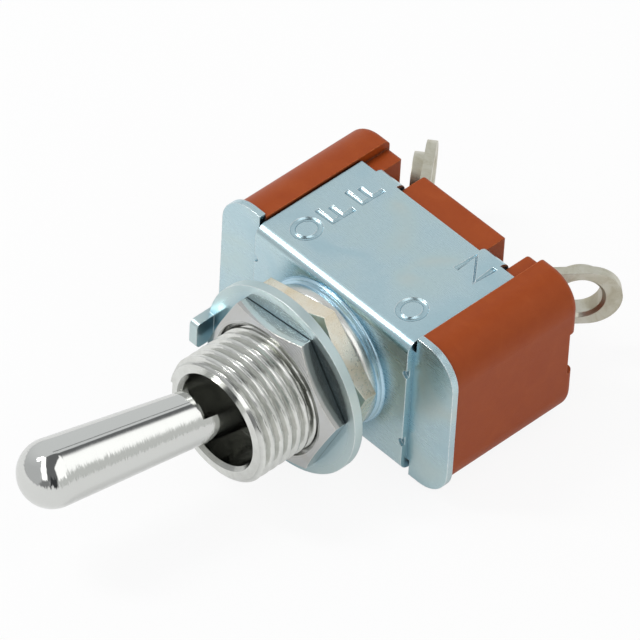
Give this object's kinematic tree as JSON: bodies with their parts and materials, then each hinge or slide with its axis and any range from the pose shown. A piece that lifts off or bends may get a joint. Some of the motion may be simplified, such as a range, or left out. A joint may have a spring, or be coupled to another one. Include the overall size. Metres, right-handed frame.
{
  "type": "panel toggle switch",
  "caption": "Panel-mount toggle switch: chromed bat lever in a threaded bushing with nuts and locking ring, moulded case in a steel frame, splayed solder lugs.",
  "frame": {"origin": "on the bushing's axis, in the plane of the frame's front face", "axes": "-Y along the bushing towards the lever, +X towards the on end, +Z out of the wing that carries the position words"},
  "size_m": [0.0284, 0.0542, 0.018],
  "materials": {
    "phenolic": "satin moulded phenolic, orange-brown",
    "zinc_steel": "bright zinc plate, faintly blue",
    "chromed_brass": "polished chrome plate",
    "nickel_brass": "nickel plate on turned brass",
    "silvered_brass": "dull silver plate",
    "pin_steel": "bright drawn steel",
    "copper_alloy": "bare",
    "silver": "silver alloy contact metal",
    "nylon": "natural",
    "fibre": "pressed fibre sheet"
  },
  "bodies": {
    "housing": {"case": "phenolic", "frame_bracket": "zinc_steel", "cover_plate": "zinc_steel", "bushing": "chromed_brass", "rear_nut": "nickel_brass", "locking_ring": "zinc_steel", "front_nut": "nickel_brass", "pivot_pin": "pin_steel", "insulating_plate": "fibre", "rocker_pin": "pin_steel", "fixed_contact": "silver", "fulcrum_bracket": "copper_alloy", "fulcrum_rivet": "copper_alloy", "off_terminal": "silvered_brass", "on_terminal": "silvered_brass"},
    "lever": {"toggle_lever": "chromed_brass", "plunger_spring": "pin_steel"},
    "plunger": {"plunger": "nylon"},
    "rocker": {"rocker": "copper_alloy", "moving_contact": "silver"}
  },
  "joints": [
    {"name": "lever_swing", "type": "hinge", "parent": "housing", "child": "lever", "pos_m": [0, -0.00655, 0], "axis": [0, 0, 1], "range_deg": [0, 25.2]},
    {"name": "plunger_slide", "type": "slide", "parent": "lever", "child": "plunger", "axis": [-0.2181, -0.9759, 0], "range_m": [0, 0.0008], "stiffness_N_per_m": 1500, "springref_m": -0.002, "deforming": ["plunger_spring"]},
    {"name": "rocker_tilt", "type": "hinge", "parent": "housing", "child": "rocker", "pos_m": [0, 0.0082, 0], "axis": [0, 0, 1], "range_deg": [-20, 0]}
  ],
  "couplings": [
    {"joint": "rocker_tilt", "follows": "lever_swing", "ratio": -0.79365}
  ]
}
